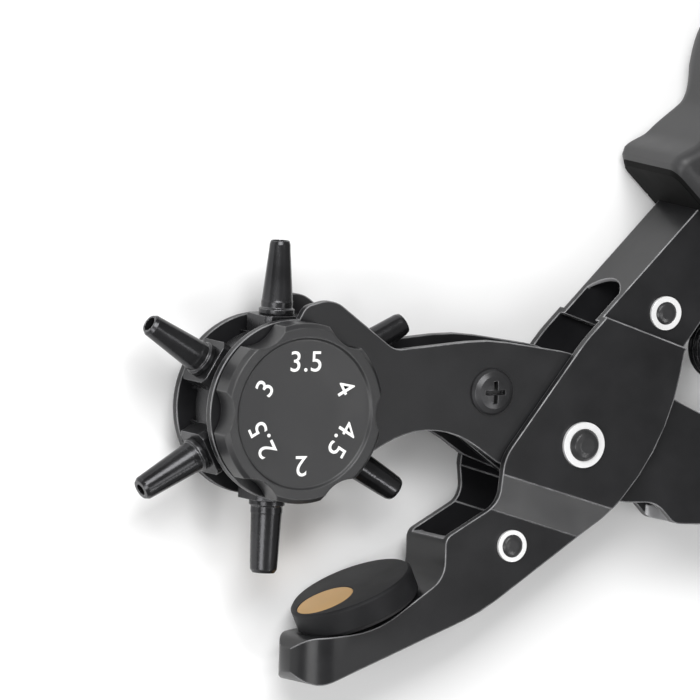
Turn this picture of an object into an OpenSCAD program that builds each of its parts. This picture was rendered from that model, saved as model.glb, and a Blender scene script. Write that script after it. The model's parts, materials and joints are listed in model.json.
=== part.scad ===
// Rotary hole punch: a revolving head of six cutting tubes on pliers of pressed steel.
// The tool lies flat. +Z is the hinge axis, the hinge stands on the origin, +X runs to the handles.

/* [Sheet steel] */
// thickness of the pressed sheet
sheet = 1.6; // [1.2:0.1:1.8]
// height of the tool's middle plane above the resting plane
lift = 12.8; // [12.8:0.1:13.4]
// half of the outer width of the frame's jaw and handle
frame_half = 8.2; // [8:0.1:8.6]
// how far the frame's middle stands out over its jaw on each side
flare = 1.6; // [1.2:0.1:2]
// half of the outer width of the lever
lever_half = 6.2; // [6:0.1:6.2]

/* [Turret] */
// turret centre, left of the hinge
turret_x = -65.8; // [-70:0.1:-60]
// turret centre, above the hinge
turret_y = 8.5; // [6:0.1:10]
// direction of the first cutting tube, in degrees
turret_angle = 88.5; // [80:0.5:100]
// radius of the turret's drum
drum_r = 15.6; // [14:0.1:16.5]
// reach of the cutting tubes from the turret's centre
tip_reach = 33.4; // [32:0.1:34]
// cutting bores, round the dial
bores = [3.5, 3, 2.5, 2, 4.5, 4]; // [2:0.5:4.5]
// outer radius of the tubes' tips, in the same order
tips = [2.1, 2.3, 2.5, 2.7, 2.6, 2.35]; // [2.1:0.05:2.8]
// outer radius of the dial knob over its lobes
knob_r = 18.2; // [17:0.1:19]
// thickness of the dial knob
knob_h = 5.6; // [4:0.1:7]

/* [Anvil] */
// brass pad centre, left of the hinge
pad_x = -52.4; // [-54:0.1:-50]
// brass pad centre, below the hinge
pad_y = -30.9; // [-32:0.1:-30]
// tilt of the anvil face
anvil_tilt = 24.6; // [20:0.1:30]
// radius of the anvil disc
anvil_r = 12.8; // [12:0.1:12.8]
// height of the anvil disc
anvil_h = 5.6; // [4:0.1:7]
// radius of the brass pad
pad_r = 6.0; // [5:0.1:7]

/* [Rivets] */
// hinge rivet shank radius
hinge_r = 3.2; // [2.5:0.1:3.5]
// small rivet shank radius
rivet_r = 2.3; // [1.8:0.1:2.6]
// running clearance of the hinge and axle bores
run = 0.06; // [0.02:0.01:0.1]

/* [Spring] */
// spring wire radius
wire_r = 0.95; // [0.7:0.05:1.2]
// spring coil radius to the wire's middle
coil_r = 5.6; // [5:0.1:7]

/* [Hidden] */

wheel = [turret_x, turret_y];
screw_at = [-20.1, 11];
upper_rivet = [18.8, 25.8];
lower_rivet = [-14.8, -20.1];
wide_half = frame_half + flare;          // outer half width of the frame's middle
plate_in = lever_half;                   // jaw plates lie on the lever's sides
plate_out = lever_half + sheet;
normal = [-sin(anvil_tilt), cos(anvil_tilt)];
coil_at = [36.6, 17.2];

steel = [0.10, 0.10, 0.105];
black = [0.06, 0.06, 0.06];
nickel = [0.86, 0.86, 0.86];
brass = [0.72, 0.55, 0.32];
rubber = [0.15, 0.15, 0.155];
tool_steel = [0.16, 0.16, 0.165];

// ---------- outlines: each corner is [x, y, radius] ----------
function xy(p) = [p[0], p[1]];
function unit(v) = v / norm(v);
function turn(a, b) = a[0] * b[1] - a[1] * b[0];

function arc_of(a, b, c, r) =
  let (p = xy(b), u = unit(xy(a) - p), v = unit(xy(c) - p), half = acos(u * v) / 2)
  (r <= 0 || half > 89.5) ? [p] :
  let (o = p + unit(u + v) * r / sin(half), s = p + u * r / tan(half) - o,
       side = turn(u, v) < 0 ? 1 : -1, span = 180 - 2 * half, n = max(2, ceil(span / 7)))
  [for (i = [0:n]) let (t = side * span * i / n)
    o + [s[0] * cos(t) - s[1] * sin(t), s[0] * sin(t) + s[1] * cos(t)]];

function rounded(p) = let (n = len(p))
  [for (i = [0:n - 1]) each arc_of(p[(i + n - 1) % n], p[i], p[(i + 1) % n], p[i][2])];

// moves an open run of corners sideways, to its left
function moved(p, d) = let (n = len(p))
  [for (i = [0:n - 1])
    let (u = i > 0 ? unit(xy(p[i]) - xy(p[i - 1])) : unit(xy(p[1]) - xy(p[0])),
         v = i < n - 1 ? unit(xy(p[i + 1]) - xy(p[i])) : u,
         m = unit(u + v), k = d / max(0.2, m * u))
    [p[i][0] - m[1] * k, p[i][1] + m[0] * k, max(0, p[i][2] - d * sign(turn(u, v)))]];

module slab(z0, z1) { translate([0, 0, z0]) linear_extrude(z1 - z0) children(); }
module rod(at, r, z0, z1, n = 48) { translate([at[0], at[1], z0]) cylinder(r = r, h = z1 - z0, $fn = n); }

// the frame: its web runs down the left side, its sides are open to the right
upper_bend = [55.7, 76.4];
upper_end = [112, 86.3];
frame_web = [[upper_end[0], upper_end[1], 0], [upper_bend[0], upper_bend[1], 45], [0, 20.7, 30],
  [-17.9, -2.5, 9], [-17.9, -11.6, 5], [-29.7, -18.2, 2.5], [-29.7, -26.2, 6], [-44.8, -36.5, 22],
  [-61.7, -38.1, 4.8], [-61.7, -49.4, 4.6]];
frame_open = [[-21.3, -33.4, 40], [18.2, -6.7, 50], [22.7, 18.0, 1.5], [36, 35.5, 22],
  [62, 62.4, 34], [upper_end[0] + 2.2, upper_end[1] - 12.6, 0]];

module frame_outline() { polygon(rounded(concat(frame_web, frame_open))); }

module frame_hollow() {
  inner = moved([for (i = [0:8]) frame_web[i]], sheet);
  polygon(rounded(concat([[inner[0][0] + 20, inner[0][1] + 3.5, 0]], [for (i = [1:7]) inner[i]],
    [[-55.6, -39.2, 2.5], [-55.6, -60, 0], [30, -60, 0], [70, 20, 0], [upper_end[0] + 20, 60, 0]])));
}

// everything past the lower edge of the flared middle, and everything below its upper edge
module past_joggle(m) { translate([-19.3, -12.7]) rotate(-17) translate([-20, m]) square([80, 60]); }
module below_step(m) { translate([4, 24.5]) rotate(-20.2) translate([-40, m - 80]) square([80, 80]); }

// one side of the flared middle, with the slope that leads down to the jaw; both ends of the slope
// are buried in the sheet they join
module middle_side() {
  slab(frame_half - 0.1, wide_half) intersection() { frame_outline(); past_joggle(7.3); below_step(1.2); }
  intersection() {
    slab(0, wide_half) frame_outline();
    translate([-19.3, -12.7, 0]) rotate([0, 0, -17]) rotate([90, 0, 90]) translate([0, 0, -20])
      linear_extrude(80) polygon([[-0.5, frame_half - 1.55], [7.5, frame_half + 0.05],
        [7.5, wide_half - 0.05], [-0.5, frame_half - 0.15]]);
  }
}

module frame_channel() {
  bore = frame_half - sheet;
  color(steel) difference() {
    union() {
      difference() {
        slab(-frame_half, frame_half) frame_outline();
        slab(-bore, bore) frame_hollow();
        // the slot that the jaw plates pass through, round at its upper end
        slab(-bore, bore) polygon([[-31.5, -18.4], [-8, -18.4], [20, 10], [20, 38], [5.5, 26.2], [-30, 26]]);
        intersection() {
          slab(-bore, bore) square(200, center = true);
          translate([5.2, 25.9, 0]) rotate([0, 0, 45]) rotate([90, 0, 0])
            cylinder(r = 8.6, h = 9, center = true, $fn = 64);
        }
        slab(-20, 20) intersection() { past_joggle(0); below_step(0); }
      }
      middle_side();
      mirror([0, 0, 1]) middle_side();
    }
    // the nose is round from above too
    translate([-53.1, -43, 0]) rotate([90, 0, 0]) linear_extrude(30, center = true) difference() {
      translate([-16, -12]) square([16, 24]);
      circle(r = frame_half + 0.07, $fn = 96);
    }
    rod([0, 0], hinge_r + run, -20, 20);
    rod(upper_rivet, rivet_r, -20, 20);
    rod(lower_rivet, rivet_r, -20, 20);
    anvil_place() translate([0, 0, -12]) cylinder(r = 3, h = 12, $fn = 48);
  }
}

// ---------- anvil ----------
// the disc's centre sits right of the pad, along the face
pad_shift = 6.2;
disc_at = [pad_x + pad_shift * cos(anvil_tilt), pad_y + pad_shift * sin(anvil_tilt)];
module anvil_place() {
  translate([disc_at[0], disc_at[1], 0]) rotate([0, 0, anvil_tilt]) rotate([-90, 0, 0]) children();
}

module anvil_disc() {
  color(black) difference() {
    anvil_place() rotate_extrude($fn = 96) polygon([[0, -anvil_h], [anvil_r - 0.8, -anvil_h],
      [anvil_r, -anvil_h + 0.8], [anvil_r, -0.5], [anvil_r - 0.5, 0], [0, 0]]);
    anvil_place() translate([-pad_shift, 0, -1.6]) cylinder(r = pad_r, h = 3, $fn = 64);
    anvil_place() translate([0, 0, -anvil_h - 1]) cylinder(r = 3, h = 4.2, $fn = 48);
    slab(-20, 20) frame_outline();
  }
}
module brass_pad() {
  color(brass) anvil_place() translate([-pad_shift, 0, -1.6])
    rotate_extrude($fn = 64) polygon([[0, 0], [pad_r, 0], [pad_r, 1.45], [pad_r - 0.2, 1.6], [0, 1.6]]);
}
// holds the disc to the web from inside the jaw
module anvil_rivet() {
  color(steel) anvil_place() {
    translate([0, 0, -9.2]) cylinder(r = 3, h = 6.8, $fn = 48);
    translate([0, 0, -11.4]) cylinder(r = 5, h = 2.2, $fn = 48);
  }
}

// ---------- rivets and rings ----------
module rivet(at, r, head, out, front, back) {
  translate([at[0], at[1], 0]) {
    cylinder(r = r, h = 2 * out, center = true, $fn = 48);
    for (s = [0, 1]) let (rise = (s == 0 ? front : back) + 0.01)
      mirror([0, 0, s]) translate([0, 0, out - 0.01]) rotate_extrude($fn = 64) polygon([[0, 0], [head, 0],
        [head, rise * 0.45], [head * 0.8, rise * 0.85], [head * 0.5, rise], [0, rise]]);
  }
}
module rings(at, r_in, r_out, z, h) {
  translate([at[0], at[1], 0]) for (s = [0, 1]) mirror([0, 0, s]) translate([0, 0, z]) difference() {
    cylinder(r = r_out, h = h, $fn = 64);
    translate([0, 0, -1]) cylinder(r = r_in, h = h + 2, $fn = 64);
  }
}
module handle_rivet() { color(black) rivet(upper_rivet, rivet_r, rivet_r, frame_half, 1.2, 1.2); }
module jaw_rivet() { color(black) rivet(lower_rivet, rivet_r, rivet_r, frame_half, 1.2, 1.2); }
module hinge_rivet() { color(black) rivet([0, 0], hinge_r, hinge_r, wide_half, 2.2, lift - wide_half); }
module handle_rings() { color(nickel) rings(upper_rivet, rivet_r, 3.4, frame_half, 0.7); }
module jaw_rings() { color(nickel) rings(lower_rivet, rivet_r, 3.2, frame_half, 0.7); }
module hinge_rings() { color(nickel) rings([0, 0], hinge_r + run, 4.6, wide_half, 0.8); }

// ---------- lever ----------
lever_end = [144, -23.6];
lever_web = [[12, -12.4, 20], [19.2, -12.6, 6], [23.4, -17.0, 3], [60, -18.9, 80],
  [lever_end[0], lever_end[1], 0]];
lever_top = [[lever_end[0] + 0.7, lever_end[1] + 12.6, 0], [50, -5.0, 30], [8, 15.1, 9], [-24, 18.6, 7],
  [-25.5, 4.5, 6], [-8, -8.5, 9]];
module lever_outline() { polygon(rounded(concat(lever_web, lever_top))); }
module lever_hollow() {
  inner = moved(lever_web, sheet);
  polygon(rounded(concat([[14, -30, 0], [inner[2][0] - 3, inner[2][1] + 1.3, 0]],
    [[inner[3][0], inner[3][1], 80]],
    [[inner[4][0] + 20, inner[4][1] - 1.1, 0], [lever_end[0] + 20, 30, 0], [-40, 30, 0], [-40, -30, 0]])));
}
module lever_channel() {
  color(steel) difference() {
    slab(-lever_half, lever_half) lever_outline();
    slab(-lever_half + sheet, lever_half - sheet) lever_hollow();
    // the web stops in a round notch
    intersection() {
      slab(-lever_half + sheet, lever_half - sheet) square(80, center = true);
      translate([18.6, -17.4, 0]) rotate([90, 0, 0]) cylinder(r = 6.2, h = 12, center = true, $fn = 64);
    }
    rod([0, 0], hinge_r + run, -20, 20);
    rod(screw_at, 2.5, -20, 20);
  }
}

// ---------- jaw plates ----------
module arm_outline() {
  polygon(rounded([[-67, 22, 0], [-62.8, 29.4, 3], [-56.6, 30.8, 6], [-42.3, 20.0, 5], [-21, 21.6, 40],
    [-1, 18.2, 14], [10.5, 9.5, 8], [8, -8, 6], [-7.5, -7.6, 4], [-18.4, -3.2, 2], [-33.2, 7.0, 20],
    [-53.5, -3.9, 0], [-66, 4, 0]]));
}
module jaw_plate() {
  difference() {
    union() {
      slab(plate_in, plate_out) arm_outline();
      rod(wheel, 18.3, plate_in, plate_out, 120);
    }
    rod([0, 0], hinge_r + run, 0, 20);
    rod(screw_at, 2.5, 0, 20);
    rod(wheel, 3 + run, 0, 20);
  }
}
module jaw_plate_front() { color(steel) jaw_plate(); }
module jaw_plate_back() { color(steel) mirror([0, 0, 1]) jaw_plate(); }

module arm_screw() {
  color(steel) difference() {
    translate([screw_at[0], screw_at[1], 0]) {
      translate([0, 0, -plate_out - 2.2]) cylinder(r = 2.5, h = 2 * plate_out + 2.2, $fn = 48);
      translate([0, 0, plate_out]) rotate_extrude($fn = 64)
        polygon([[0, 0], [4.65, 0], [4.65, 0.5], [4.2, 1.1], [3.3, 1.6], [2, 1.95], [0, 2.1]]);
    }
    for (a = [0, 90]) translate([screw_at[0], screw_at[1], plate_out + 1.6]) rotate([0, 0, a])
      cube([4.6, 1.0, 2.4], center = true);
  }
}
module arm_nut() {
  color(steel) difference() {
    rod(screw_at, 4.6, -plate_out - 2.4, -plate_out, 6);
    rod(screw_at, 2.5, -20, 0);
  }
}
module arm_spacer() {
  color(black) difference() {
    rod(screw_at, 4.2, -lever_half + sheet, lever_half - sheet);
    rod(screw_at, 2.5, -20, 20);
  }
}

// ---------- turret ----------
axle_r = 3;
module turret_axle() { color(tool_steel) rod(wheel, axle_r, -9.6, 12.2); }
module axle_cap() {
  color(steel) translate([wheel[0], wheel[1], 0]) difference() {
    rotate_extrude($fn = 96) polygon([[0, -lift], [6.6, -lift], [7.6, -lift + 0.8], [8, -lift + 2],
      [8, -plate_out - 0.4], [0, -plate_out - 0.4]]);
    translate([0, 0, -9.6]) cylinder(r = axle_r, h = 10, $fn = 48);
  }
}

module on_spoke(k) {
  translate([wheel[0], wheel[1], 0]) rotate([0, 0, turret_angle + 60 * k]) rotate([0, 90, 0]) children();
}
module drum() {
  color(tool_steel) difference() {
    union() {
      rod(wheel, drum_r, -5.8, 5.8, 120);
      for (k = [0:5]) translate([wheel[0], wheel[1], 0]) rotate([0, 0, turret_angle + 60 * k])
        intersection() {
          translate([0, -4.7, -4.7]) cube([18.6, 9.4, 9.4]);
          rotate([0, 90, 0]) cylinder(r = 5.9, h = 19, $fn = 64);
        }
    }
    rod(wheel, axle_r, -20, 20);
    for (k = [0:5]) {
      on_spoke(k) translate([0, 0, 11]) cylinder(r = 2.7, h = 12, $fn = 48);
      // detent notches in the back rim
      translate([wheel[0], wheel[1], 0]) rotate([0, 0, turret_angle + 60 * k + 30])
        translate([drum_r, 0, -5]) cylinder(r = 3.2, h = 3.6, center = true, $fn = 48);
    }
  }
}
module tube(k) {
  b = bores[k] / 2;
  reach = tip_reach;
  color(tool_steel) on_spoke(k) rotate_extrude($fn = 64) polygon([[b, 11.2], [2.7, 11.2], [2.7, 18.6],
    [3.5, 18.6], [3.6, 18.9], [3.6, 19.7], [3.2, 20.0], [3.2, 21.2], [3.1, 21.5],
    [tips[k] + 0.1, reach - 2.2], [tips[k], reach - 0.7], [max(b + 0.12, tips[k] - 0.45), reach], [b, reach]]);
}
module tube_3_5() { tube(0); }
module tube_3() { tube(1); }
module tube_2_5() { tube(2); }
module tube_2() { tube(3); }
module tube_4_5() { tube(4); }
module tube_4() { tube(5); }

module dial_knob() {
  z0 = plate_out + 0.5;
  color(black) difference() {
    translate([wheel[0], wheel[1], 0]) rotate_extrude($fn = 144) polygon([[0, z0], [knob_r - 0.4, z0],
      [knob_r, z0 + 0.4], [knob_r, z0 + knob_h - 0.9], [knob_r - 0.9, z0 + knob_h], [15.4, z0 + knob_h],
      [14.9, z0 + knob_h - 0.5], [8, z0 + knob_h - 0.75], [0, z0 + knob_h - 0.8]]);
    for (k = [0:5]) translate([wheel[0], wheel[1], 0]) rotate([0, 0, turret_angle + 60 * k + 30])
      translate([23.4, 0, 0]) cylinder(r = 7.2, h = 40, $fn = 96);
    rod(wheel, axle_r, -20, 12.2);
  }
}

// a flat strip on the inside of the back plate, with its tip at the drum's notches
module detent_spring() {
  color(nickel) slab(-plate_in, -plate_in + 1) polygon(rounded([[-27.4, 14.6, 1.5], [-40, 12.6, 30],
    [-48.4, 12.6, 1.4], [-49.4, 9.6, 1.0], [-47.8, 8.0, 1.0], [-46.4, 10.2, 1.2], [-38, 10.2, 30],
    [-27.4, 8.4, 1.5]]));
}

// ---------- return spring: one wire, leg, coil, leg ----------
turns = 3;
coil_a = 24.6;
coil_b = 13 - 360 * turns;
coil_z = 2.9;
leg_a = [29.9, 46.0];
leg_b = [46.5, -15.6];
coil_n = 96;
coil_path = [for (i = [0:coil_n]) let (t = i / coil_n, a = coil_a + (coil_b - coil_a) * t)
  [coil_at[0] + coil_r * cos(a), coil_at[1] + coil_r * sin(a), coil_z - 2 * coil_z * t]];
wire_path = concat([[leg_a[0], leg_a[1], coil_z]], coil_path, [[leg_b[0], leg_b[1], -coil_z]]);
module wire(path, r, m = 12) {
  n = len(path);
  rings = [for (i = [0:n - 1])
    let (d = unit(path[min(i + 1, n - 1)] - path[max(i - 1, 0)]),
         s = unit(cross(d, [0, 0, 1])), u = cross(s, d))
    each [for (j = [0:m - 1]) path[i] + r * (s * cos(360 * j / m) + u * sin(360 * j / m))]];
  polyhedron(rings, concat([[for (j = [0:m - 1]) j]], [[for (j = [0:m - 1]) n * m - 1 - j]],
    [for (i = [0:n - 2], j = [0:m - 1]) let (k = (j + 1) % m)
      each [[i * m + k, i * m + j, (i + 1) * m + j], [i * m + k, (i + 1) * m + j, (i + 1) * m + k]]]));
}
module return_spring() { color(black) wire(wire_path, wire_r); }

// ---------- grips: sections lofted along the handle ----------
// a row of the table is [distance, outer side, inner side, half width], 12 being as wide as the tool is high
function at(t, s, c) = let (k = max([for (i = [0:len(t) - 2]) if (t[i][0] <= s) i]),
  f = min(1, (s - t[k][0]) / (t[k + 1][0] - t[k][0])), e = f * f * (3 - 2 * f))
  t[k][c] * (1 - e) + t[k + 1][c] * e;
function walk(start, step, n, a0, a1, s0, s1) =
  [for (i = 0, p = start; i <= n;
    p = p + step * [cos(bend_of(i * step + step / 2, a0, a1, s0, s1)),
      sin(bend_of(i * step + step / 2, a0, a1, s0, s1))],
    i = i + 1) [p[0], p[1], bend_of(i * step, a0, a1, s0, s1)]];
function bend_of(s, a0, a1, s0, s1) = a0 + (a1 - a0) * min(1, max(0, (s - s0) / (s1 - s0)));

// quarter of the section is a rounded corner: 28 points round a section
function section(o, i, w, r) = let (m = 6)
  [for (q = [0:3], j = [0:m]) let (a = 90 * q + 90 * j / m,
     cx = (q == 0 || q == 3) ? o - r : i + r, cz = (q < 2) ? w - r : -w + r)
     [cx + r * cos(a), cz + r * sin(a)]];
module grip(line, step, table, side) {
  n = len(line) - 1; m = 28;
  pts = [for (i = [0:n]) let (s = i * step, l = line[i], v = side * [-sin(l[2]), cos(l[2])],
      w = at(table, s, 3) * lift / 12, o = at(table, s, 1), q = at(table, s, 2),
      r = min(w, (o - q) / 2) * 0.62)
    each [for (p = section(o, q, w, r)) [l[0] + v[0] * p[0], l[1] + v[1] * p[0], p[1]]]];
  quads = [for (i = [0:n - 1], j = [0:m - 1]) let (k = (j + 1) % m)
    each [[i * m + j, i * m + k, (i + 1) * m + j], [i * m + k, (i + 1) * m + k, (i + 1) * m + j]]];
  caps = [[for (j = [0:m - 1]) m - 1 - j], [for (j = [0:m - 1]) n * m + j]];
  faces = concat(quads, caps);
  polyhedron(pts, side > 0 ? faces : [for (f = faces) [for (j = [len(f) - 1:-1:0]) f[j]]]);
}
upper_line = walk([25.8, 46.3], 1.5, 72, 44.8, 10, 24, 52);
upper_table = [[0, 10.2, -18.8, 10.6], [1.5, 12.2, -19.6, 11.4], [3, 12.6, -19.8, 12],
  [9, 11.0, -19.2, 12], [17, 10.6, -17.4, 12], [31, 20.8, -15.6, 12], [37, 21.0, -15.2, 12],
  [70, 9.2, -15.6, 12], [86, 8.6, -17.0, 12],
  [102, 9.6, -16.4, 11.6], [106, 8.6, -15.4, 10.2], [108, 6.4, -13.4, 8.4]];
lower_line = walk([50, -18.45], 1.5, 72, -3, -3.2, 0, 20);
lower_table = [[0, 4.6, -16.6, 10.6], [1.5, 6.0, -18.0, 11.4], [3, 6.6, -18.6, 12],
  [8, 5.8, -17.8, 12], [24, 7.4, -18.2, 12],
  [50, 8.6, -16.8, 12], [78, 7.2, -18.2, 12], [100, 8.4, -18.4, 11.6], [106, 7.4, -17.4, 10.2],
  [108, 5.4, -15.4, 8.4]];
module upper_grip() {
  color(rubber) difference() {
    grip(upper_line, 1.5, upper_table, 1);
    slab(-frame_half - 0.05, frame_half + 0.05) polygon(rounded(grown_frame()));
  }
}
function grown_frame() = concat(moved([for (i = [0:2]) frame_web[i]], -0.05),
  [[10, -20, 0], [30, 10, 0], [36.2, 35.3, 22], [62.1, 62.2, 34],
   [upper_end[0] + 2.2, upper_end[1] - 12.7, 0]]);
module lower_grip() {
  color(rubber) difference() {
    grip(lower_line, 1.5, lower_table, -1);
    slab(-lever_half - 0.05, lever_half + 0.05) polygon([[38, -17.82], [60, -18.95],
      [lever_end[0], lever_end[1] - 0.05],
      [lever_end[0] + 0.7, lever_end[1] + 12.65], [53.5, -5.2], [40, 1]]);
  }
}

module placed() { translate([0, 0, lift]) children(); }
placed() frame_channel();
placed() upper_grip();
placed() anvil_disc();
placed() brass_pad();
placed() anvil_rivet();
placed() handle_rivet();
placed() handle_rings();
placed() jaw_rivet();
placed() jaw_rings();
placed() lever_channel();
placed() lower_grip();
placed() jaw_plate_front();
placed() jaw_plate_back();
placed() arm_screw();
placed() arm_nut();
placed() arm_spacer();
placed() hinge_rivet();
placed() hinge_rings();
placed() turret_axle();
placed() axle_cap();
placed() detent_spring();
placed() drum();
placed() dial_knob();
placed() tube_2();
placed() tube_2_5();
placed() tube_3();
placed() tube_3_5();
placed() tube_4();
placed() tube_4_5();
placed() return_spring();
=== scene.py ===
"""Looks of the rotary hole punch, built around its CAD nodes.

Materials, moulded grips, dial numbers, return spring, light and camera.
Lengths in tables are in millimetres from the hinge axis.
"""

import json
import math

import bmesh
import bpy
from mathutils import Matrix, Vector

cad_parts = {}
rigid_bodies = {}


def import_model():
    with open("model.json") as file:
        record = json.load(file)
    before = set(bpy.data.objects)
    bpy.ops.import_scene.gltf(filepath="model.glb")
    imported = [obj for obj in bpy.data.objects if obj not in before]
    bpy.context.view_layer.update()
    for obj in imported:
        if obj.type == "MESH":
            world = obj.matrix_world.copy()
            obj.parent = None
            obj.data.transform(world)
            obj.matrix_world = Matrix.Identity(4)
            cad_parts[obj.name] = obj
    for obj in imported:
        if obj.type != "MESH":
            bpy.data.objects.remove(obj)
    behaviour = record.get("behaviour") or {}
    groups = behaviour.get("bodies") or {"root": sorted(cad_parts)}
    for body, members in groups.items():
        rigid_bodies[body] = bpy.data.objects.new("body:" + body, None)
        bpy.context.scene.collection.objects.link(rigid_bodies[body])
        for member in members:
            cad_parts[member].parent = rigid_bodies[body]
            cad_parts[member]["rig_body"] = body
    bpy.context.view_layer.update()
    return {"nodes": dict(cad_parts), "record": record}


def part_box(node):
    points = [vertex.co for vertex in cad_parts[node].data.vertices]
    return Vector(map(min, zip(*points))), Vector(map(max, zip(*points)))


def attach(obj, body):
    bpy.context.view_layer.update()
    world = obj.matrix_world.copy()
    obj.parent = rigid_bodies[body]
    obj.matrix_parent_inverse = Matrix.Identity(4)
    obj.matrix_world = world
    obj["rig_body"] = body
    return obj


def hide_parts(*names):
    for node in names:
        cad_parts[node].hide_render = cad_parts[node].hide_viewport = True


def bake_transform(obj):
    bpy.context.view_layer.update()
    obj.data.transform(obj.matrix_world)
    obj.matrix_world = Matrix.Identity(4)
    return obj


MM = 0.001

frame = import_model()
NODES = frame["nodes"]


def centre(node):
    low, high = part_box(node)
    return (low + high) / 2


WHEEL = centre("drum")
LIFT = WHEEL.z  # height of the tool's middle plane


# ---------- materials ----------
def shader(name):
    m = bpy.data.materials.new(name)
    m.use_nodes = True
    m.node_tree.nodes.clear()
    out = m.node_tree.nodes.new("ShaderNodeOutputMaterial")
    bsdf = m.node_tree.nodes.new("ShaderNodeBsdfPrincipled")
    m.node_tree.links.new(bsdf.outputs["BSDF"], out.inputs["Surface"])
    return m, bsdf


def add(m, kind, inputs=None, **settings):
    n = m.node_tree.nodes.new(kind)
    for k, v in settings.items():
        setattr(n, k, v)
    for k, v in (inputs or {}).items():
        if isinstance(v, bpy.types.NodeSocket):
            m.node_tree.links.new(v, n.inputs[k])
        else:
            n.inputs[k].default_value = v
    return n


def noise(m, scale, detail=4.0, rough=0.5):
    where = add(m, "ShaderNodeTexCoord").outputs["Object"]
    return add(
        m,
        "ShaderNodeTexNoise",
        {"Vector": where, "Scale": scale, "Detail": detail, "Roughness": rough},
    ).outputs["Fac"]


def remap(m, value, a, b, c, d):
    return add(
        m,
        "ShaderNodeMapRange",
        {"Value": value, "From Min": a, "From Max": b, "To Min": c, "To Max": d},
        clamp=True,
    ).outputs["Result"]


def mix_colour(m, fac, a, b):
    n = m.node_tree.nodes.new("ShaderNodeMix")
    n.data_type = "RGBA"
    for i, v in ((0, fac), (6, a), (7, b)):
        if isinstance(v, bpy.types.NodeSocket):
            m.node_tree.links.new(v, n.inputs[i])
        else:
            n.inputs[i].default_value = (*v, 1) if hasattr(v, "__len__") else v
    return n.outputs[2]


def finish_of(
    name,
    colour,
    roughness,
    metallic=0.0,
    vary=0.25,
    spread=0.05,
    grain=900,
    bump=0.03,
    edge=None,
    edge_radius=0.45,
    edge_amount=1.0,
    coat=0.0,
    specular=0.5,
):
    """A surface with cloudy colour, uneven gloss, a fine grain and soft edges.

    With edge, a second colour shows wear along the edges and paints a highlight there.
    """
    m, b = shader(name)
    cloud = noise(m, 90, 5, rough=0.6)
    fine = noise(m, grain, 3)
    dark = tuple(c * (1 - vary) for c in colour)
    light = tuple(c * (1 + vary) for c in colour)
    skin = mix_colour(m, remap(m, cloud, 0.3, 0.7, 0, 1), dark, light)
    gloss = remap(m, cloud, 0.3, 0.7, roughness - spread, roughness + spread)
    soft = add(m, "ShaderNodeBevel", {"Radius": edge_radius * MM}, samples=6).outputs[0]
    if edge:
        true = add(m, "ShaderNodeNewGeometry").outputs["Normal"]
        turn = add(
            m, "ShaderNodeVectorMath", {0: soft, 1: true}, operation="DOT_PRODUCT"
        ).outputs["Value"]
        # Edge mask: part wear, part painted highlight that lightens the edges.
        edge_wear_and_highlight = remap(m, turn, 0.995, 0.93, 0, edge_amount)
        patchy_edge_wear_and_highlight = add(
            m,
            "ShaderNodeMath",
            {0: edge_wear_and_highlight, 1: remap(m, noise(m, 260, 4), 0.35, 0.6, 0.45, 1)},
            operation="MULTIPLY",
        ).outputs[0]
        skin = mix_colour(m, patchy_edge_wear_and_highlight, skin, edge)
        gloss = add(
            m,
            "ShaderNodeMath",
            {0: gloss, 1: remap(m, patchy_edge_wear_and_highlight, 0, 1, 1, 0.8)},
            operation="MULTIPLY",
        ).outputs[0]
    m.node_tree.links.new(skin, b.inputs["Base Color"])
    m.node_tree.links.new(gloss, b.inputs["Roughness"])
    relief = add(
        m,
        "ShaderNodeBump",
        {"Strength": bump, "Distance": 0.2 * MM, "Height": fine, "Normal": soft},
    )
    m.node_tree.links.new(relief.outputs[0], b.inputs["Normal"])
    b.inputs["Metallic"].default_value = metallic
    b.inputs["Specular IOR Level"].default_value = specular
    if coat:
        b.inputs["Coat Weight"].default_value = coat
        b.inputs["Coat Roughness"].default_value = 0.12
    return m


# Light grey for the lacquered edges: part wear to bare steel, part painted highlight.
BARE_STEEL_AND_HIGHLIGHT = (0.42, 0.42, 0.43)
LACQUER = finish_of(
    "black_lacquer", (0.010, 0.010, 0.011), 0.33, edge=BARE_STEEL_AND_HIGHLIGHT, coat=0.03, specular=0.32
)
PLATE = finish_of(
    "satin_lacquer",
    (0.011, 0.011, 0.012),
    0.36,
    edge=BARE_STEEL_AND_HIGHLIGHT,
    edge_amount=0.8,
    specular=0.36,
)
RUBBER = finish_of(
    "grip_rubber",
    (0.020, 0.020, 0.021),
    0.46,
    grain=2600,
    bump=0.10,
    spread=0.04,
    edge_radius=0.5,
)
# Near-black painted shade for the grip's front end, where the flange's underside falls in
# shade.
PAINTED_SHADE_GRIP_END = finish_of("grip_end_painted_shade", (0.003, 0.003, 0.003), 0.7, specular=0.1)
# The dial's lighter edge colour is part wear, part painted highlight.
DIAL = finish_of(
    "dial_plastic",
    (0.014, 0.014, 0.015),
    0.36,
    grain=3200,
    bump=0.05,
    edge=(0.12, 0.12, 0.12),
    edge_radius=0.5,
    edge_amount=0.5,
)
# The oxide's lighter edge colour is part wear, part painted highlight.
OXIDE = finish_of(
    "black_oxide",
    (0.040, 0.040, 0.042),
    0.24,
    metallic=0.8,
    vary=0.35,
    spread=0.07,
    grain=1600,
    bump=0.12,
    edge=(0.3, 0.3, 0.31),
    edge_radius=0.25,
    edge_amount=0.6,
)
RIVET = finish_of("rivet_black", (0.022, 0.022, 0.023), 0.30, edge_radius=0.4)
RING = finish_of(
    "bright_ring",
    (0.86, 0.86, 0.86),
    0.30,
    metallic=0.35,
    vary=0.04,
    bump=0.02,
    edge_radius=0.15,
)
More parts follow.
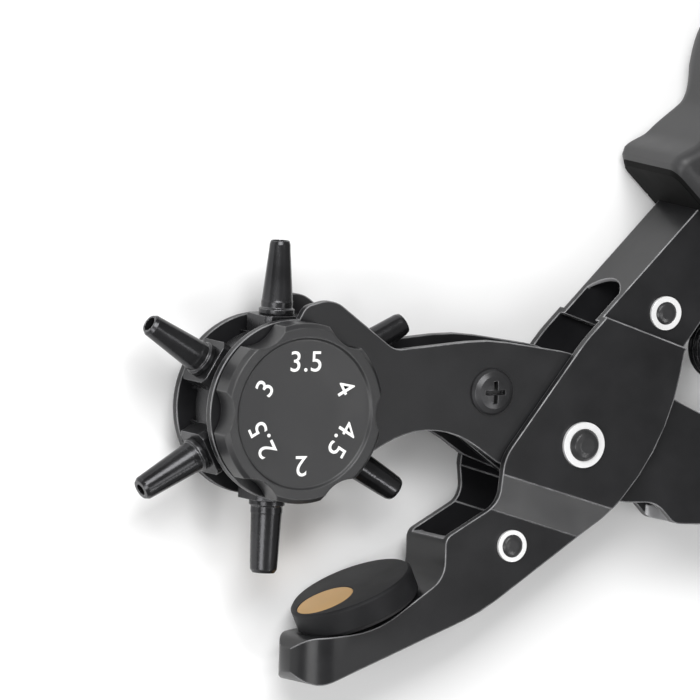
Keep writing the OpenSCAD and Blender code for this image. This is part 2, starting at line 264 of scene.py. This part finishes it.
# The screw's lighter edge colour is part wear, part painted highlight.
SCREW = finish_of(
    "screw_oxide",
    (0.040, 0.040, 0.042),
    0.34,
    metallic=0.5,
    edge=(0.25, 0.25, 0.26),
    edge_radius=0.2,
    edge_amount=0.5,
)
WIRE = finish_of("spring_wire", (0.030, 0.030, 0.032), 0.24, metallic=0.6, bump=0.02)
STRIP = finish_of("bright_strip", (0.45, 0.45, 0.46), 0.32, metallic=0.9, vary=0.08)
ANVIL = finish_of(
    "anvil_black", (0.010, 0.010, 0.011), 0.50, specular=0.2, edge_radius=0.4
)
BRASS = finish_of(
    "brass_pad",
    (0.54, 0.33, 0.13),
    0.42,
    metallic=0.30,
    vary=0.08,
    grain=2200,
    bump=0.08,
    edge_radius=0.15,
)
INK = finish_of(
    "number_white",
    (0.86, 0.86, 0.85),
    0.50,
    vary=0.03,
    bump=0.01,
    edge_radius=0.02,
)

LOOKS = {
    "frame_steel": LACQUER,
    "lever_steel": LACQUER,
    "plate_steel": PLATE,
    "grip": RUBBER,
    "dial": DIAL,
    "tool_steel": OXIDE,
    "rivet": RIVET,
    "ring": RING,
    "screw": SCREW,
    "spring": WIRE,
    "detent": STRIP,
    "anvil": ANVIL,
    "brass": BRASS,
}
for part in frame["record"]["subparts"]:
    mesh = NODES[part["node"]].data
    mesh.materials.clear()
    mesh.materials.append(LOOKS[part["material_slot"]])


def smoothed(node, slot_name, angle=32):
    """The CAD node's own shape, welded, with its bends shaded as curves."""
    cad = NODES[node]
    bm = bmesh.new()
    bm.from_mesh(cad.data)
    bmesh.ops.remove_doubles(bm, verts=bm.verts, dist=0.002 * MM)
    me = bpy.data.meshes.new(node + "_smooth")
    bm.to_mesh(me)
    bm.free()
    if "custom_normal" in me.attributes:
        me.attributes.remove(me.attributes["custom_normal"])
    me.materials.clear()
    me.materials.append(LOOKS[slot_name])
    me.shade_smooth()
    me.set_sharp_from_angle(angle=math.radians(angle))
    o = bpy.data.objects.new(node + "_smooth", me)
    bpy.context.scene.collection.objects.link(o)
    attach(o, cad["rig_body"])
    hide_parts(node)
    return o


# ---------- painted highlight on the cut rims, where the sheet's web is notched ---
# Light grey on the notch rims is a painted highlight along the cut edge.
RIM_HIGHLIGHT = finish_of("rim_painted_highlight", (0.40, 0.40, 0.41), 0.35, metallic=0.4, vary=0.12)
SLOT_CENTRE, SLOT_RADIUS = (5.2, 25.9), 8.6  # notch in the upper handle's web
NOTCH_X, NOTCH_RADIUS = 18.6, 6.2  # notch in the lower handle's web
JAW_STOP = -18.4  # where the lower jaw's web ends
FRAME_INSIDE, LEVER_INSIDE = 6.62, 4.62  # half widths inside the two channels


def paint_rim_highlight(o, is_rim):
    o.data.materials.append(RIM_HIGHLIGHT)
    for f in o.data.polygons:
        if is_rim(f.center.x / MM, f.center.y / MM, (f.center.z - LIFT) / MM):
            f.material_index = 1


def frame_rim(x, y, z):
    across = (x - SLOT_CENTRE[0] + y - SLOT_CENTRE[1]) * math.sqrt(0.5)
    round_end = y > 15 and abs(math.hypot(across, z) - SLOT_RADIUS) < 0.06
    return abs(z) < FRAME_INSIDE and (abs(y - JAW_STOP) < 0.03 or round_end)


def lever_rim(x, y, z):
    from_rim = abs(math.hypot(x - NOTCH_X, z) - NOTCH_RADIUS)
    return abs(z) < LEVER_INSIDE and y < -9 and from_rim < 0.06


paint_rim_highlight(smoothed("frame_channel", "frame_steel"), frame_rim)
paint_rim_highlight(smoothed("lever_channel", "lever_steel"), lever_rim)
smoothed("jaw_plate_front", "plate_steel")
smoothed("jaw_plate_back", "plate_steel")
smoothed("drum", "tool_steel")
smoothed("dial_knob", "dial")


# ---------- meshes ----------
def piece(name, verts, faces, material, smooth=35):
    me = bpy.data.meshes.new(name)
    me.from_pydata([tuple(v) for v in verts], [], faces)
    bm = bmesh.new()
    bm.from_mesh(me)
    bmesh.ops.recalc_face_normals(bm, faces=bm.faces)
    bm.to_mesh(me)
    bm.free()
    me.materials.append(material)
    me.shade_smooth()
    me.set_sharp_from_angle(angle=math.radians(smooth))
    o = bpy.data.objects.new(name, me)
    bpy.context.scene.collection.objects.link(o)
    return o


def tube_faces(rings, around):
    """Quads between rings of vertices, and a cap on each end."""
    faces = [
        (
            i * around + j,
            i * around + (j + 1) % around,
            (i + 1) * around + (j + 1) % around,
            (i + 1) * around + j,
        )
        for i in range(rings - 1)
        for j in range(around)
    ]
    faces.append(tuple(reversed(range(around))))
    faces.append(tuple((rings - 1) * around + j for j in range(around)))
    return faces


def smooth_step(f):
    return f * f * (3 - 2 * f)


def ease(table, s, column):
    """A value from a table of stations, eased from each to the next."""
    for a, b in zip(table, table[1:]):
        if s <= b[0]:
            f = min(1, max(0, (s - a[0]) / (b[0] - a[0])))
            return a[column] + (b[column] - a[column]) * smooth_step(f)
    return table[-1][column]


# ---------- grips: the loft of the CAD, finer, with the mould's parting grooves ----------
def line_along(start, length, a0, a1, s0, s1, step):
    """Stations along a line that turns from a0 to a1 degrees, from s0 to s1."""
    points, p, s = [], Vector(start), 0.0
    while s <= length + 1e-6:
        a = math.radians(a0 + (a1 - a0) * min(1, max(0, (s - s0) / (s1 - s0))))
        points.append((s, p.copy(), a))
        m = math.radians(
            a0 + (a1 - a0) * min(1, max(0, (s + step / 2 - s0) / (s1 - s0)))
        )
        p = p + step * Vector((math.cos(m), math.sin(m)))
        s += step
    return points


# across and depth of the parting groove
GROOVE = [(0.30, 0.0), (0.16, 0.28), (0.0, 0.38), (-0.16, 0.28), (-0.30, 0.0)]


def grip_section(outer, inner, half, seam, r):
    """Section with corners of radius r and a groove on both faces.

    The groove lies seam mm in from the outer side.
    """
    pts = []
    for q, (cx, cz) in enumerate(
        (
            (outer - r, half - r),
            (inner + r, half - r),
            (inner + r, -half + r),
            (outer - r, -half + r),
        )
    ):
        for j in range(13):
            a = math.radians(90 * q + 90 * j / 12)
            pts.append((cx + r * math.cos(a), cz + r * math.sin(a)))
        if q == 0:
            pts += [
                (outer - seam + d, half - depth) for d, depth in GROOVE
            ]
        if q == 2:
            pts += [
                (outer - seam - d, -half + depth) for d, depth in GROOVE
            ]
    return pts


def grip(name, node, line, table, side):
    verts, count = [], 0
    for s, p, a in line:
        outer, inner = ease(table, s, 1), ease(table, s, 2)
        half = ease(table, s, 3) * LIFT / MM / 12
        past_flange = smooth_step(min(1, max(0, (s - 8) / 22)))
        r = min(half, (outer - inner) / 2) * (0.22 + 0.40 * past_flange)
        seam = max(r + 0.7, 0.30 * (outer - inner))
        section = grip_section(outer, inner, half, seam, r)
        count = len(section)
        out = Vector((-math.sin(a), math.cos(a))) * side
        for across, z in section:
            q = p + out * across
            verts.append((q.x * MM, q.y * MM, LIFT + z * MM))
    o = piece(name, verts, tube_faces(len(line), count), RUBBER, 32)
    # The grip's front end gets the near-black painted shade.
    o.data.materials.append(PAINTED_SHADE_GRIP_END)
    start = line[0][1] * MM
    ahead = Vector((math.cos(line[0][2]), math.sin(line[0][2])))
    for f in o.data.polygons:
        if (Vector(f.center[:2]) - start).dot(ahead) < 0.6 * MM:
            f.material_index = 1
    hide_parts(node)
    return o


# distance along the grip, outer side, inner side, half width
UPPER = [
    (0, 10.2, -18.8, 10.6), (1.5, 12.2, -19.6, 11.4), (3, 12.6, -19.8, 12),
    (9, 11.0, -19.2, 12), (17, 10.6, -17.4, 12), (31, 20.8, -15.6, 12),
    (37, 21.0, -15.2, 12), (70, 9.2, -15.6, 12), (86, 8.6, -17.0, 12),
    (102, 9.6, -16.4, 11.6), (106, 8.6, -15.4, 10.2), (108, 6.4, -13.4, 8.4),
]
LOWER = [
    (0, 4.6, -16.6, 10.6), (1.5, 6.0, -18.0, 11.4), (3, 6.6, -18.6, 12),
    (8, 5.8, -17.8, 12), (24, 7.4, -18.2, 12), (50, 8.6, -16.8, 12),
    (78, 7.2, -18.2, 12), (100, 8.4, -18.4, 11.6), (106, 7.4, -17.4, 10.2),
    (108, 5.4, -15.4, 8.4),
]
upper = grip(
    "upper_grip_moulded", "upper_grip",
    line_along((25.8, 46.3), 108, 44.8, 10, 24, 52, 0.75), UPPER, 1,
)
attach(upper, "frame")
lower = grip(
    "lower_grip_moulded", "lower_grip",
    line_along((50, -18.45), 108, -3, -3.2, 0, 20, 0.75), LOWER, -1,
)
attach(lower, "lever")


# ---------- return spring: one smooth wire ----------
def spring():
    coil, radius, rise, turns = Vector((36.6, 17.2)), 5.6, 2.9, 3
    wire_radius = 0.95
    a, b = 24.6, 13 - 360 * turns
    path = [Vector((29.9, 46.0, rise))]
    n = 200
    for i in range(n + 1):
        t = i / n
        g = math.radians(a + (b - a) * t)
        path.append(
            Vector(
                (
                    coil.x + radius * math.cos(g),
                    coil.y + radius * math.sin(g),
                    rise - 2 * rise * t,
                )
            )
        )
    path.append(Vector((46.5, -15.6, -rise)))
    straight = 24
    head = [path[0].lerp(path[1], i / straight) for i in range(straight)]
    tail = [path[-2].lerp(path[-1], (i + 1) / straight) for i in range(straight)]
    path = head + path[1:-1] + tail
    verts, around = [], 20
    for i, p in enumerate(path):
        d = (path[min(i + 1, len(path) - 1)] - path[max(i - 1, 0)]).normalized()
        s = d.cross(Vector((0, 0, 1))).normalized()
        u = s.cross(d)
        for j in range(around):
            g = 2 * math.pi * j / around
            q = p + wire_radius * (s * math.cos(g) + u * math.sin(g))
            verts.append((q.x * MM, q.y * MM, LIFT + q.z * MM))
    o = piece("spring_wire", verts, tube_faces(len(path), around), WIRE)
    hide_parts("return_spring")
    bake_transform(o)


spring()


# ---------- dial numbers: one beside each tube ----------
NUMBER_HEIGHT, NUMBER_RADIUS, DISH_DEPTH = 5.9, 10.3, 0.62


def number(text, node):
    away = centre(node) - WHEEL
    angle = math.atan2(away.y, away.x)
    curve = bpy.data.curves.new("number", "FONT")
    curve.body = text
    curve.size = NUMBER_HEIGHT * MM
    curve.align_x = "CENTER"
    curve.align_y = "CENTER"
    curve.extrude = 0.06 * MM
    curve.offset = 0.008 * MM
    curve.space_character = 1.08
    temporary = bpy.data.objects.new("number_temporary", curve)
    bpy.context.scene.collection.objects.link(temporary)
    bpy.context.view_layer.update()
    seen = temporary.evaluated_get(bpy.context.evaluated_depsgraph_get())
    me = bpy.data.meshes.new_from_object(seen)
    bpy.data.objects.remove(temporary)
    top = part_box("dial_knob")[1].z - DISH_DEPTH * MM
    place = (
        Matrix.Translation((WHEEL.x, WHEEL.y, top))
        @ Matrix.Rotation(angle, 4, "Z")
        @ Matrix.Translation((NUMBER_RADIUS * MM, 0, 0))
        @ Matrix.Rotation(-math.pi / 2, 4, "Z")
    )
    me.transform(place)
    me.materials.clear()
    me.materials.append(INK)
    o = bpy.data.objects.new("number_" + text.replace(".", "_"), me)
    bpy.context.scene.collection.objects.link(o)
    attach(o, "turret")


for size in ("2", "2.5", "3", "3.5", "4", "4.5"):
    number(size, "tube_" + size.replace(".", "_"))


# ---------- floor, light, camera ----------
def stage():
    me = bpy.data.meshes.new("floor")
    e = 3.0
    me.from_pydata(
        [(-e, -e, 0), (e, -e, 0), (e, e, 0), (-e, e, 0)], [], [(0, 1, 2, 3)]
    )
    m, b = shader("pale_floor")
    b.inputs["Base Color"].default_value = (0.93, 0.93, 0.93, 1)
    b.inputs["Roughness"].default_value = 0.9
    b.inputs["Specular IOR Level"].default_value = 0.1
    me.materials.append(m)
    floor = bpy.data.objects.new("floor", me)
    bpy.context.scene.collection.objects.link(floor)


def softbox(name, at, target, width, height, power):
    data = bpy.data.lights.new(name, "AREA")
    data.shape = "RECTANGLE"
    data.size = width
    data.size_y = height
    data.energy = power
    o = bpy.data.objects.new(name, data)
    bpy.context.scene.collection.objects.link(o)
    o.location = at
    o.visible_camera = False
    o.rotation_euler = (Vector(target) - Vector(at)).to_track_quat("-Z", "Y").to_euler()


stage()
MIDDLE = (-0.02, 0.01, LIFT)
softbox("key", (-0.35, 0.62, 0.80), MIDDLE, 0.8, 0.5, 11)
softbox("fill", (-0.85, -0.25, 0.65), MIDDLE, 0.5, 0.5, 4.5)
softbox("low", (0.33, -0.48, 0.74), (0.0, -0.02, LIFT), 0.18, 0.18, 1.2)
softbox("sheen", (0.03, -0.03, 0.27), (-0.08, 0.0, LIFT), 0.07, 0.09, 0.075)

world = bpy.data.worlds.new("studio")
bpy.context.scene.world = world
world.use_nodes = True
world.node_tree.nodes["Background"].inputs["Color"].default_value = (1, 1, 1, 1)
world.node_tree.nodes["Background"].inputs["Strength"].default_value = 0.30


def camera():
    data = bpy.data.cameras.new("camera")
    data.type = "ORTHO"
    data.ortho_scale = 0.14
    o = bpy.data.objects.new("camera", data)
    bpy.context.scene.collection.objects.link(o)
    right = Vector((0.8770, 0.0284, 0.4798)).normalized()
    up = Vector((0.0284, 0.9934, -0.1108))
    up = (up - right * up.dot(right)).normalized()
    back = right.cross(up)
    looks_at = Vector((-0.0407, 0.0176, LIFT - 0.0138))
    at = looks_at + back * 0.9
    o.matrix_world = Matrix(
        (
            (right.x, up.x, back.x, at.x),
            (right.y, up.y, back.y, at.y),
            (right.z, up.z, back.z, at.z),
            (0, 0, 0, 1),
        )
    )
    data.clip_end = 10
    bpy.context.scene.camera = o


camera()
bpy.context.scene.view_settings.view_transform = "Standard"
